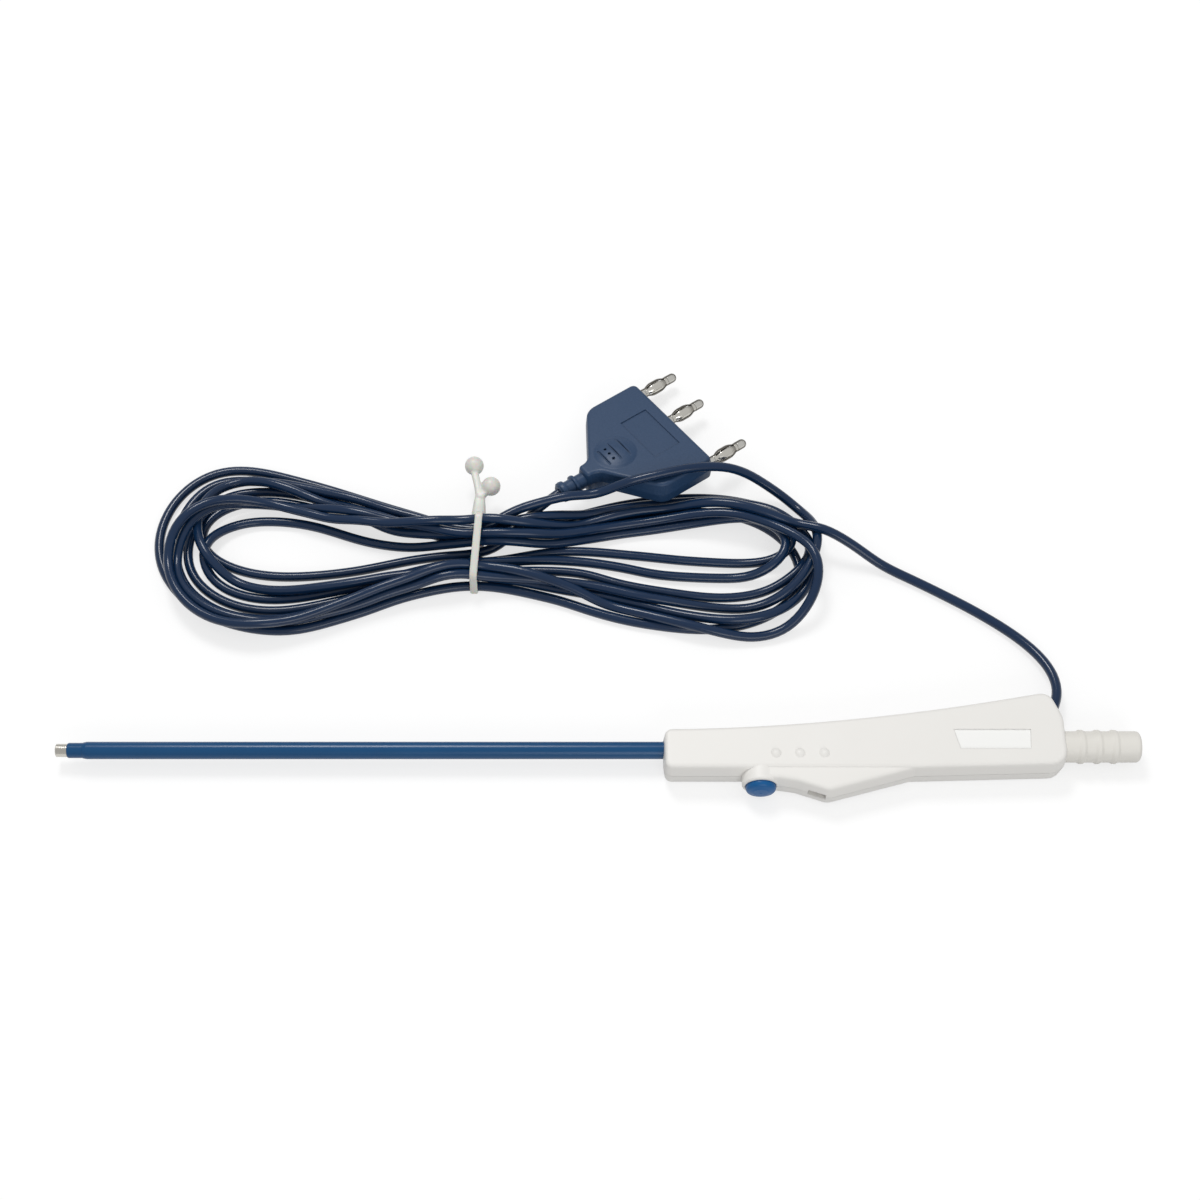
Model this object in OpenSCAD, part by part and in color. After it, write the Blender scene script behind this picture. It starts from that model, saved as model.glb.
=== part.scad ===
// Suction coagulator: a pencil-like handpiece with a finger button, an insulated suction tube,
// a hose barb and a corded plug with three spring pins. It lies on its side, lower half down.
// The handpiece is drawn from the middle of the handle's front face, with X along the tube
// towards the hose, Y away from the button, and the parting plane of the casing at Z = 0.

/* [Suction tube] */
// Outside diameter of the steel suction tube
tube_d = 3.33; // [2.7:0.01:3.8]
// Wall of the steel suction tube
tube_wall = 0.35; // [0.2:0.01:0.6]
// How far the tube stands out of the handle
tube_reach = 152.4; // [60:0.1:260]
// Bare metal at the tip
tip_bare = 2.9; // [1:0.1:10]
// Wall of the inner insulating sleeve
liner_wall = 0.215; // [0.15:0.005:0.4]
// Length of the inner sleeve that shows past the outer one
liner_show = 3.9; // [2:0.1:12]
// Wall of the outer insulating sleeve
sleeve_wall = 0.22; // [0.15:0.005:0.4]

/* [Handle] */
// Length of the casing
handle_l = 101; // [90:0.5:130]
// Thickness of the casing, across both halves
handle_t = 9.5; // [9:0.1:12]
// Height of the casing above the tube's axis, at the front
front_up = 4.4; // [4.2:0.1:7]
// Depth of the casing below the tube's axis
front_down = 7.2; // [6.9:0.1:9]
// Depth of the casing below the tube's axis, at the back
back_down = 6.2; // [5.6:0.1:8]
// Further climb of the top line towards the back
back_climb = 9.9; // [7:0.1:14]
// Wall of the casing
shell_wall = 1.25; // [0.9:0.05:1.5]
// Rounding of the casing's long edges
edge_r = 1.1; // [0.5:0.05:1.6]
// How far each side wall leans in, from the parting line to the flat face
draft = 0.38; // [0.1:0.02:0.6]

/* [Thumb rest] */
// Thickness of the blister under the handle
rest_t = 8.6; // [8.4:0.1:9.4]
// Distance of the blister's lowest corner from the front of the handle
rest_x = 40.8; // [37:0.1:48]
// Depth of that corner below the tube's axis
rest_drop = 13.3; // [12:0.1:16]
// Where the blister runs out into the handle's lower side
rest_end = 63.5; // [56:0.5:80]
// Length of the vent slot
vent_l = 4.5; // [3:0.1:5.5]
// Width of the vent slot
vent_w = 2.4; // [1.5:0.1:3]
// Diameter of the raised finger dots
dot_d = 2.5; // [1.5:0.1:3.5]

/* [Button] */
// Diameter of the button
button_d = 7.6; // [6:0.1:7.8]
// Distance of the button from the front of the handle
button_x = 24.2; // [22:0.1:27]
// How far the button stands out of its collar
button_proud = 1.9; // [1.2:0.1:3]
// Travel of the button
button_travel = 0.6; // [0.3:0.05:0.6]

/* [Hose barb] */
// Outside diameter of the hose barb, between its ridges
barb_d = 7.9; // [7:0.1:8.2]
// How far the barb stands out of the handle
barb_l = 18.8; // [15:0.1:35]
// Height of the barb's ridges
ridge_h = 0.35; // [0.15:0.05:0.6]
// Distance from ridge to ridge
ridge_pitch = 4.15; // [2.5:0.05:5]
// Bore for the suction air
suction_d = 5.2; // [4:0.1:5.4]
// Height of the barb's axis above the tube's axis
barb_rise = 1; // [0.5:0.05:1.2]

/* [Plug] */
// Distance from the first pin to the middle pin
pitch_a = 12.7; // [10:0.05:16]
// Distance from the middle pin to the last pin
pitch_b = 19.05; // [16:0.05:24]
// Length of the plug's body
plug_l = 31; // [29:0.5:45]
// Thickness of the plug's body
plug_t = 7.4; // [6.4:0.1:9]
// Free length of each pin
pin_l = 12.2; // [11.5:0.1:20]
// Diameter of a pin over its spring cage
pin_d = 3.8; // [3.6:0.05:4.4]

/* [Cord] */
// Diameter of the cord
cord_d = 2.6; // [2:0.1:2.8]
// Diameter of one insulated wire of the cord
wire_d = 1; // [0.7:0.05:1.1]

/* [Hidden] */
$fn = 48;

// Clearances, and one overrun for every cut
slip = 0.05;
gap = 0.2;
over = 1;
// Segments of a rounded corner and of a rounded edge
corner_steps = 5;
edge_steps = 4;
dome_steps = 6;

// Suction tube
tube_r = tube_d / 2;
liner_r = tube_r + slip + liner_wall;
sleeve_r = liner_r + slip + sleeve_wall;
sleeve_in = 4.5;
liner_in = 7;
cone_l = 0.9;
tip_round = 0.15;

// Casing
face_z = handle_t / 2;
roof_z = face_z - shell_wall;
inner_corner = 0.6;
corner_r = shell_wall + draft + inner_corner;
rear_low_r = 4.5;
rear_high_r = 3.6;
rear_bend_r = 8;
rear_bend_share = 0.5;
rear_lean = 3;
peak_share = 0.936;
sweep_power = 1.85;
sweep_steps = 12;
sweep_end_share = 0.965;
belly_share = 0.62;
belly_sag = 0.05;
belly_r = 40;

// Blister
rest_z = rest_t / 2;
rest_roof = rest_z - shell_wall;
knee_share = 0.5;
knee_drop = 0.55;
knee_r = 12;
run_out = 4;
run_out_r = 8;
rest_round = 4;
collar_z = 9.9;
collar_r = max(face_z - slip, button_d / 2 + slip + gap);
collar_round = 0.6;
rest_root = shell_wall + 2 * gap;

// Dots and label recess, as shares of the handle's length
dot_shares = [0.277, 0.336, 0.396];
dot_h = 0.65;
dot_y = -2.9;
label_shares = [0.720, 0.910, 0.906, 0.733];
label_low = -1.7;
label_high = 3.6;
label_deep = 0.25;

// Ribs that cradle the tube and the fitting, and the posts that join the halves
rib_t = 1.2;
front_rib_share = 0.089;
rib_ahead = 8.45;
rib_behind = 1.2;
rib_over = 0.6;
tube_rib_high = tube_r + rib_over;
fitting_rib_shares = [0.54, 0.74];
post_r = 1.1;
peg_r = 0.6;
peg_l = 2.2;
post_low_shares = [0.125, 0.545, 0.82];
post_high_share = 0.655;

// Fitting
barb_r = barb_d / 2;
bore_r = suction_d / 2;
fitting_wall = 0.6;
fitting_r = bore_r + fitting_wall;
socket_wall = 1;
socket_r = tube_r + socket_wall;
socket_ahead = 5.8;
socket_x = rest_x - socket_ahead;
tube_seat = 7;
tube_end = socket_x + tube_seat;
chamber_gap = 1;
chamber_x = tube_end + chamber_gap;
head_l = 9;
head_x = handle_l - head_l;
neck_in = 2.2;
neck_x = head_x + neck_in;
neck_l = 1.4;
neck_deep = 0.85;
nose_x = handle_l + barb_l;
nose_round = 1.1;
ridge_half = 1.05;
ridge_top = 0.4;
first_ridge_share = 0.94;
first_ridge = handle_l + ridge_pitch * first_ridge_share;
vent_set = 0.75;
duct_wall = 0.8;
duct_set = 3.4;
duct_root = chamber_x + duct_set;

// Switch
cavity_half = roof_z - gap;
board_t = 0.8;
board_gap = 0.72;
board_top = -(tube_r + board_gap);
board_low = board_top - board_t;
dome_r = 2.3;
dome_h = 0.6;
dome_t = 0.14;
plate_low = -(front_down - shell_wall - draft - slip);
plate_t = 0.9;
plate_side = 1.4;
plate_l = button_d + 2 * plate_side;
nub_r = 1.2;
nub_tip = board_low - dome_h - 2 * slip;
cap_wall = 1;
crown_h = 0.4;
cap_round = 1;
clip_behind = 3;
clip_x = button_x + clip_behind;
clip_l = 2.4;
clip_t = 0.3;
clip_slit = 0.6;
clip_leg = 1.4;

// Wires and crimp
wire_r = wire_d / 2;
wire_z = cavity_half - wire_r - 2 * gap;
wire_y = barb_rise + sqrt(pow(fitting_r + wire_r + gap, 2) - pow(wire_z, 2));
wire_x = clip_x + clip_l / 2 + wire_d + gap;

// Ribs under the tube, and the board that rests on two of them
tube_ribs = [handle_l * front_rib_share, button_x - rib_ahead,
    max(socket_x - rib_behind - rib_t, wire_x + wire_r + gap)];
board_x = [tube_ribs[1] - gap, min(tube_ribs[2] + rib_t, socket_x - 2 * gap) + gap];

crimp_ahead = 5;
crimp_x = head_x - crimp_ahead;
crimp_l = 3.4;
crimp_t = 0.5;
cord_r = cord_d / 2;

// The blister's lowest corner and knee, the direction of the slanted front wall between them,
// the direction into the casing, and the middle of the vent slot in that wall
rest_corner = [rest_x, -rest_drop];
knee = [button_x + knee_share * (rest_x - button_x), -(collar_z + knee_drop)];
wall_dir = unit(knee - rest_corner);
wall_in = [wall_dir.y, -wall_dir.x];
vent_mid = rest_corner + wall_dir * (vent_set + vent_l / 2);

// The row's frame: middle of the handpiece's box, on the surface that it lies on
casing = casing_path();
blister = blister_path();
box_low_y = min(min([for (p = blister) p.y]), -(collar_z + button_proud));
box_high_y = max([for (p = casing) p.y]);
mid_x = (nose_x - tube_reach) / 2;
mid_y = (box_low_y + box_high_y) / 2;

// Cord inside the casing: its height, and the bend that turns it out through the back
cord_y = barb_rise + barb_r + slip + shell_wall / 2 + cord_r;
cord_turn = 62;
cord_bend = 8.3;
exit_in = 1.8;
cord_out = handle_l - exit_in - cord_bend * sin(cord_turn);
cord_out_steps = 4;
function cord_way(a) = [cos(a), sin(a), 0];
function cord_exit(a, z) = [cord_out + cord_bend * sin(a), cord_y + cord_bend * (1 - cos(a)), z];

// Cord outside: points in the row's frame, from the handle to the hank, and from plug to hank
lead_route = [[115.6, 10.6, 4.75], [117.4, 14.6, 4.4], [117.6, 19.2, 3.7], [116.4, 23.9, 3.0],
    [113.8, 28.5, 2.2], [110, 33, 1.6], [105, 37.3, 1.4], [99, 41.6, 1.4], [93, 45.4, 1.4],
    [86, 49.6, 1.4], [79, 53.4, 1.4], [72, 56.9, 1.5], [65, 60.1, 2], [57, 63.4, 2.7]];
tail_route = [[-10.4, 74.2, 8.3], [-14, 71.6, 8.3], [-17.6, 69, 7.6], [-21, 66.8, 6.2], [-24, 65.2, 4.4]];
lead_start = cord_exit(cord_turn, 0) - [mid_x, mid_y, -face_z];
lead_points = concat([[crimp_x - mid_x, cord_y - mid_y, face_z]],
    [for (i = [0 : cord_out_steps]) cord_exit(cord_turn * i / (cord_out_steps + 1), 0)
        - [mid_x, mid_y, -face_z]],
    [for (i = [0 : len(lead_route) - 1]) lead_route[i] + (lead_start - lead_route[0])
        * (1 - i / (len(lead_route) - 1))]);
cord_sides = 8;
hank_left = [-91.2, 59.9, 26.8];
hank_right = [32.8, 58.7, 26.2];
hank_waist = [-32.5, 57.4, 10.9];
hank_band = 12;
hank_h = 5.4;
hank_arc = 112;
hank_arc_steps = 14;

// Tie: a strap under and over the waist, with a head and two ball ends
tie_w = 2.1;
tie_t = 0.9;
tie_high = 8.2;
tie_head = [-31.9, 67.5, 6.4];
tie_fork = [-31.9, 73.4, 7.6];
tie_balls = [[-33.6, 82.4, 8.4], [-28.8, 75.8, 8.4]];
tie_ball_r = 2.45;
tie_stem_r = 1;
tie_head_size = [4.2, 3.4, 3.2];

// Plug: where the middle pin leaves the body, and how the body lies
plug_at = [19.1, 98.8, 6.3];
plug_turn = 35.4;
plug_tilt = 10.2;
plug_roll = -3.7;
plug_mid = (pitch_a - pitch_b) / 2;
plug_margin = 2.4;
plug_half = (pitch_a + pitch_b) / 2 + plug_margin;
plug_z = plug_t / 2;
plug_edge = 0.9;
plug_lean = 0.4;
plug_neck = 2.7;
plug_neck_l = 3.5;
plug_neck_r = 3.5;
plug_side_share = 0.55;
plug_corner_r = 2;
plug_shoulder_r = 5;
plug_end_r = plug_edge + plug_lean + slip;
relief_l = 7.5;
relief_r = 2.2;
flange_r = 2.9;
flange_at = [2.6, 6.3];
flange_half = [0.6, 1];
panel_deep = 0.3;
panel_near = 0.95;
panel_shares = [0.27, 0.43];
disc_r = 5.9;
disc_h = 1.1;
disc_share = 0.64;
groove_w = 0.5;
groove_deep = 0.45;
groove_at = [2.6, -0.3, -3.7];
groove_l = [7.4, 9.4, 6];
dot_hole_at = -1.9;
dot_hole_pitch = 2;
dot_hole_d = 0.8;
pin_root = 6;
pin_core_r = 1.3;
cage_core_r = 0.95;
cage_x = 1.3;
cage_tail = 3.1;
cage_l = pin_l - cage_x - cage_tail;
cage_end_l = 0.8;
cage_wall = 0.3;
cage_steps = 4;
cage_crown_l = 1.8;
cage_slots = 2;
cage_slot_w = 0.5;

// A point of the plug in the row's frame, and the cord's points from the plug to the hank
function plug_point(p) = let (
    u = p.x * cos(plug_roll) + p.z * sin(plug_roll),
    z = p.z * cos(plug_roll) - p.x * sin(plug_roll),
    y = u * sin(plug_turn) + p.y * cos(plug_turn))
    plug_at + [u * cos(plug_turn) - p.y * sin(plug_turn),
        y * cos(plug_tilt) + z * sin(plug_tilt), z * cos(plug_tilt) - y * sin(plug_tilt)];
tail_start = plug_point([-plug_l - relief_l, plug_mid, 0]);
tail_points = [for (i = [0 : len(tail_route) - 1])
    tail_route[i] + (tail_start - tail_route[0]) * (1 - i / (len(tail_route) - 1))];

// Geometry helpers
function unit(v) = v / norm(v);

// An arc of the given radius that rounds the corner b between a and c
function corner(a, b, c, r) = let (
    u = unit(a - b),
    v = unit(c - b),
    half = acos(u * v) / 2,
    turn = 180 - 2 * half,
    mid = b + unit(u + v) * r / sin(half),
    p = b + u * r / tan(half) - mid,
    q = b + v * r / tan(half) - mid)
    [for (i = [0 : corner_steps])
        mid + (p * sin(turn * (1 - i / corner_steps)) + q * sin(turn * i / corner_steps)) / sin(turn)];

// A closed path whose corners are rounded, each by its own radius, or kept where it is zero
function rounded(points, radii) = let (n = len(points))
    [for (i = [0 : n - 1]) each radii[i] == 0 ? [points[i]]
        : corner(points[(i + n - 1) % n], points[i], points[(i + 1) % n], radii[i])];

// The same closed, anticlockwise path moved inwards
function inset(path, d) = let (n = len(path))
    [for (i = [0 : n - 1]) let (
        s = unit(path[i] - path[(i + n - 1) % n]),
        t = unit(path[(i + 1) % n] - path[i]),
        p = [-s.y, s.x],
        q = [-t.y, t.x])
        path[i] + (p + q) * d / (1 + p * q)];

// A solid through rings of the same path, each given as [inset, height]. Its ends fan out from
// a middle point that sees the whole path
module loft(path, rings, middle) {
    n = len(path);
    last = (len(rings) - 1) * n;
    points = concat([for (r = rings) each [for (p = inset(path, r[0])) [p.x, p.y, r[1]]]],
        [for (r = [rings[0], rings[len(rings) - 1]]) [middle.x, middle.y, r[1]]]);
    walls = [for (k = [0 : len(rings) - 2]) for (i = [0 : n - 1])
        let (a = k * n + i, b = k * n + (i + 1) % n)
        each [[a, a + n, b + n], [a, b + n, b]]];
    ends = [for (i = [0 : n - 1]) let (j = (i + 1) % n)
        each [[i, j, last + n], [last + j, last + i, last + n + 1]]];
    polyhedron(points, concat(ends, walls), convexity = 8);
}

// Rings of a half casing: leaning wall, rounded edge, flat face
function shell_rings(high, lean, r) = concat([[0, 0]],
    [for (i = [0 : edge_steps]) let (a = 90 * i / edge_steps)
        [lean + r * (1 - cos(a)), high - r + r * sin(a)]]);

// A tube of flat-sided rings swept along points
module cord_tube(points, r, sides) {
    n = len(points);
    dirs = [for (i = [0 : n - 1]) unit(points[min(i + 1, n - 1)] - points[max(i - 1, 0)])];
    rings = [for (i = [0 : n - 1]) let (
        side = unit(cross(dirs[i], [0, 0, 1])),
        up = cross(side, dirs[i]))
        [for (k = [0 : sides - 1]) points[i] + r
            * (cos(360 * k / sides) * side + sin(360 * k / sides) * up)]];
    walls = [for (i = [0 : n - 2]) for (k = [0 : sides - 1]) let (
        a = i * sides + k,
        b = i * sides + (k + 1) % sides)
        each [[a, b, b + sides], [a, b + sides, a + sides]]];
    ends = [[for (k = [sides - 1 : -1 : 0]) k], [for (k = [0 : sides - 1]) (n - 1) * sides + k]];
    polyhedron([for (r = rings) each r], concat(ends, walls), convexity = 8);
}

// A round bar between two points
module bar(a, b, r) {
    d = b - a;
    translate(a)
        rotate([0, acos(d.z / norm(d)), atan2(d.y, d.x)])
            cylinder(h = norm(d), r = r);
}

// A low dome, as part of a ball
module dome(r, h) {
    ball = (r * r + h * h) / (2 * h);
    span = asin(r / ball);
    rotate_extrude() polygon(concat([[0, -gap], [r, -gap]],
        [for (i = [0 : dome_steps]) let (a = span * (1 - i / dome_steps))
            [ball * sin(a), ball * cos(a) - ball + h]]));
}

// A revolved profile laid along X: its points are [radius, x]
module turned(profile) rotate([0, 90, 0]) rotate_extrude() polygon(profile);

// A tube along X
module sleeve(from, to, outer, inner) {
    turned([[inner, from], [outer, from], [outer, to], [inner, to]]);
}

module along_x(from, to, r) translate([from, 0, 0]) rotate([0, 90, 0]) cylinder(h = to - from, r = r);

// The handpiece as it lies in the row's frame
module lying() translate([-mid_x, -mid_y, face_z]) children();

// Casing outline at the parting plane
function top_y(x) = front_up + back_climb * pow(x / (handle_l * peak_share), sweep_power);

function casing_path() = let (
    belly_x = handle_l * belly_share,
    peak_x = handle_l * sweep_end_share,
    bend_y = top_y(peak_x) * rear_bend_share,
    sweep = [for (i = [sweep_steps : -1 : 1]) let (x = handle_l * peak_share * i / (sweep_steps + 0.5))
        [x, top_y(x)]])
    rounded(concat(
        [[0, -front_down], [belly_x, -front_down - belly_sag], [handle_l, -back_down],
            [handle_l, bend_y], [handle_l - rear_lean, top_y(peak_x)]],
        sweep, [[0, front_up]]),
        concat([corner_r, belly_r, rear_low_r, rear_bend_r, rear_high_r],
            [for (i = [1 : sweep_steps]) 0], [corner_r]));

// Blister outline at the parting plane: collar side, knee, lowest corner and run-out
function blister_path() = rounded(
    [[button_x, -rest_root - edge_r], [button_x, -collar_z], [button_x + collar_r - gap, -collar_z], knee,
        rest_corner, [rest_end, -front_down + gap], [rest_end + run_out, -front_down + edge_r],
        [rest_end + run_out, -rest_root - edge_r]],
    [0, 0, 0, knee_r, rest_round, run_out_r, 0, 0]);

// The vent's plan: from the slot back to the suction bore, grown by the duct's wall
function duct_plan(grow, end) = [
    vent_mid + wall_dir * (vent_l / 2 + grow) + wall_in * end,
    vent_mid - wall_dir * (vent_l / 2 + grow) + wall_in * end,
    [duct_root + vent_l / 2 + grow, barb_rise - grow],
    [duct_root - vent_l / 2 - grow, barb_rise - grow]];

module vent_cut() {
    h = vent_l / 2;
    translate([0, 0, -vent_w / 2]) linear_extrude(vent_w) polygon([
        vent_mid + wall_dir * h - wall_in * over,
        vent_mid - wall_dir * h - wall_in * over,
        vent_mid - wall_dir * h + wall_in * (shell_wall + over),
        vent_mid + wall_dir * h + wall_in * (shell_wall + over)]);
}

// What the casing is hollowed by, with the ribs, posts and collar left standing
module hollow(high_post_r, low_post_r) {
    difference() {
        translate([0, 0, -over]) linear_extrude(roof_z + over) polygon(inset(casing, shell_wall + draft));
        for (x = tube_ribs)
            translate([x, -front_down, -2 * over]) cube([rib_t, front_down + tube_rib_high, handle_t]);
        for (s = fitting_rib_shares)
            translate([handle_l * s, -front_down, -2 * over])
                cube([rib_t, front_down + barb_rise + bore_r - gap, handle_t]);
        translate([head_x - rib_t - gap, -front_down, -2 * over]) cube([rib_t, handle_l, handle_t]);
        translate([neck_x + slip, -front_down, -2 * over])
            cube([neck_l - 2 * slip, front_down + barb_rise, handle_t]);
        translate([crimp_x - rib_t - gap, barb_rise + fitting_r, -2 * over])
            cube([rib_t, handle_l, handle_t]);
        posts(low_post_r);
    }
    difference() {
        translate([0, 0, -over]) linear_extrude(rest_roof + over)
            polygon(inset(blister, shell_wall + draft));
        translate([button_x, 0, 0]) rotate([90, 0, 0]) cylinder(h = handle_l, r = collar_r);
    }
}

// Where the joining posts stand: three below the fitting and one above it
function low_y(x) = -front_down + (front_down - back_down) * max(0, x / handle_l - belly_share)
    / (1 - belly_share);

function post_places() = concat(
    [for (s = post_low_shares) [handle_l * s,
        (low_y(handle_l * s) + shell_wall + draft + barb_rise - fitting_r) / 2]],
    [[handle_l * post_high_share,
        (top_y(handle_l * post_high_share) - shell_wall - draft + barb_rise + fitting_r) / 2 + gap]]);

module posts(r) for (p = post_places()) translate([p.x, p.y, -2 * over]) cylinder(h = handle_t, r = r);

// Room for everything that the halves hold
module seats() {
    along_x(-over, sleeve_in + gap, sleeve_r + slip);
    along_x(-over, liner_in + gap, liner_r + slip);
    along_x(0, socket_x, tube_r + slip);
    along_x(socket_x - gap, duct_root, socket_r + slip);
    translate([0, barb_rise, 0]) along_x(chamber_x - gap, head_x, fitting_r + slip);
    translate([0, barb_rise, 0]) along_x(head_x - gap, neck_x, barb_r + slip);
    translate([0, barb_rise, 0]) along_x(head_x, neck_x + neck_l + slip, barb_r - neck_deep + slip);
    translate([0, barb_rise, 0]) along_x(neck_x + neck_l, nose_x, barb_r + slip);
    translate([board_x[0] - slip, board_low - slip, -cavity_half - slip])
        cube([board_x[1] - board_x[0] + 2 * slip, board_t + 2 * slip, 2 * (cavity_half + slip)]);
    translate([button_x, 0, 0]) rotate([90, 0, 0]) {
        translate([0, 0, front_down - shell_wall - draft - button_travel - gap])
            cylinder(h = handle_l, r = button_d / 2 + 2 * slip);
    }
    translate([0, cord_y, 0]) along_x(crimp_x - rib_t - gap - over, head_x + over, cord_r + slip);
    bar(cord_exit(cord_turn, 0) - over * 2 * cord_way(cord_turn),
        cord_exit(cord_turn, 0) + 2 * over * cord_way(cord_turn),
        cord_r + gap);
    translate([0, 0, -vent_w / 2 - duct_wall - slip]) linear_extrude(vent_w + 2 * duct_wall + 2 * slip)
        polygon(duct_plan(duct_wall + slip, shell_wall + draft + gap - slip));
    vent_cut();
}

// One half of the casing, above the parting plane
module half_casing() {
    difference() {
        union() {
            loft(casing, shell_rings(face_z, draft, edge_r), [handle_l / 2, 0]);
            loft(blister, shell_rings(rest_z, draft, edge_r), [rest_x, -front_down]);
            intersection() {
                translate([button_x, 0, 0]) rotate([90, 0, 0]) rotate_extrude() polygon(concat(
                    [[0, rest_root], [collar_r, rest_root]],
                    [for (i = [0 : edge_steps]) let (a = 90 * i / edge_steps)
                        [collar_r - collar_round * (1 - cos(a)), collar_z - collar_round * (1 - sin(a))]],
                    [[0, collar_z]]));
                translate([0, -handle_l, 0]) cube([handle_l, handle_l, handle_t]);
            }
        }
        hollow(post_r, post_r);
        seats();
    }
}

module upper_shell() color([0.93, 0.93, 0.9]) lying() {
    difference() {
        half_casing();
        translate([0, 0, face_z - label_deep]) linear_extrude(over) polygon([
            [handle_l * label_shares[0], label_high], [handle_l * label_shares[3], label_low],
            [handle_l * label_shares[2], label_low], [handle_l * label_shares[1], label_high]]);
        for (p = post_places())
            translate([p.x, p.y, -over]) cylinder(h = over + peg_l + gap, r = peg_r + slip);
    }
    for (s = dot_shares) translate([handle_l * s, dot_y, face_z]) dome(dot_d / 2, dot_h);
}

module lower_shell() color([0.93, 0.93, 0.9]) lying() {
    mirror([0, 0, 1]) half_casing();
    for (p = post_places())
        translate([p.x, p.y, -post_r]) cylinder(h = post_r + peg_l, r = peg_r);
}

module suction_tube() color([0.75, 0.76, 0.77]) lying() {
    inner = tube_r - tube_wall;
    turned([[inner, -tube_reach + tip_round], [inner + tip_round, -tube_reach],
        [tube_r - tip_round, -tube_reach],
        [tube_r, -tube_reach + tip_round], [tube_r, tube_end], [inner, tube_end]]);
}

module inner_sleeve() color([0.08, 0.33, 0.55]) lying() {
    from = -tube_reach + tip_bare;
    hole = tube_r + slip / 2;
    turned([[hole, from], [liner_r - tip_round, from], [liner_r, from + 2 * tip_round],
        [liner_r, liner_in], [hole, liner_in]]);
}

module outer_sleeve() color([0.08, 0.33, 0.55]) lying() {
    from = -tube_reach + tip_bare + liner_show;
    hole = liner_r + slip / 2;
    turned([[hole, from], [hole + tip_round / 2, from], [sleeve_r, from + cone_l],
        [sleeve_r, sleeve_in], [hole, sleeve_in]]);
}

// Ridged outline of the barb, from the casing to its nose
function barb_profile() = concat(
    [for (i = [0 : 2]) let (c = first_ridge + i * ridge_pitch) each [[barb_r, c - ridge_half],
        [barb_r + ridge_h, c - ridge_top], [barb_r + ridge_h, c + ridge_top], [barb_r, c + ridge_half]]],
    [for (i = [0 : edge_steps]) let (a = 90 * i / edge_steps)
        [barb_r - nose_round * (1 - cos(a)), nose_x - nose_round * (1 - sin(a))]]);

module suction_fitting() color([0.93, 0.92, 0.88]) lying() difference() {
    union() {
        translate([0, barb_rise, 0]) turned(concat(
            [[0, chamber_x], [fitting_r, chamber_x], [fitting_r, head_x], [barb_r, head_x], [barb_r, neck_x],
                [barb_r - neck_deep, neck_x], [barb_r - neck_deep, neck_x + neck_l],
                    [barb_r, neck_x + neck_l]],
            barb_profile(), [[0, nose_x]]));
        along_x(socket_x, duct_root, socket_r);
        translate([0, 0, -vent_w / 2 - duct_wall]) linear_extrude(vent_w + 2 * duct_wall)
            polygon(duct_plan(duct_wall, shell_wall + draft + gap));
    }
    along_x(socket_x - over, tube_end, tube_r + slip / 2);
    along_x(socket_x - over, duct_root, tube_r - tube_wall);
    translate([0, barb_rise, 0]) along_x(chamber_x + fitting_wall, nose_x + over, bore_r);
    translate([0, 0, -vent_w / 2]) linear_extrude(vent_w) polygon(duct_plan(0, 0));
}

module button() color([0.06, 0.35, 0.6]) lying() {
    face = collar_z + button_proud;
    r = button_d / 2;
    base = -plate_low;
    translate([button_x, 0, 0]) rotate([90, 0, 0]) rotate_extrude() polygon(concat(
        [[0, face - cap_wall - crown_h], [r - cap_wall, face - cap_wall - crown_h],
            [r - cap_wall, base], [r, base]],
        [for (i = [0 : edge_steps]) let (a = 75 * i / edge_steps)
            [r - cap_round * (1 - cos(a)), face - crown_h - cap_round * (1 - sin(a))]],
        [[r / 2, face - crown_h / 4], [0, face]]));
    translate([button_x - plate_l / 2, plate_low, -cavity_half + slip])
        cube([plate_l, plate_t, 2 * (cavity_half - slip)]);
    translate([button_x, nub_tip, 0]) rotate([90, 0, 0]) cylinder(h = nub_tip - plate_low, r = nub_r);
}

module switch_board() color([0.15, 0.45, 0.3]) lying()
    translate([board_x[0], board_low, -cavity_half])
        cube([board_x[1] - board_x[0], board_t, 2 * cavity_half]);

module switch_dome() color([0.8, 0.8, 0.78]) lying() {
    ball = (dome_r * dome_r + dome_h * dome_h) / (2 * dome_h);
    span = asin(dome_r / ball);
    outer = [for (i = [0 : edge_steps]) let (a = span * (1 - i / edge_steps))
        [ball * sin(a), ball * cos(a) - ball + dome_h]];
    inner = [for (i = [edge_steps : -1 : 0]) let (a = span * (1 - i / edge_steps))
        [(ball - dome_t) * sin(a), (ball - dome_t) * cos(a) - ball + dome_h]];
    translate([button_x, board_low, 0]) rotate([90, 0, 0]) rotate_extrude()
        polygon(concat(outer, [for (p = inner) [p.x, max(p.y, 0)]]));
}

module tube_clip() color([0.85, 0.7, 0.4]) lying() difference() {
    union() {
        along_x(clip_x - clip_l / 2, clip_x + clip_l / 2, tube_r + slip / 2 + clip_t);
        translate([clip_x - clip_l / 2, board_top, -clip_leg / 2]) cube([clip_l, -board_top, clip_leg]);
    }
    along_x(clip_x - clip_l, clip_x + clip_l, tube_r + slip / 2);
    translate([clip_x - clip_l, 0, -clip_slit / 2]) cube([2 * clip_l, handle_t, clip_slit]);
}

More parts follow.
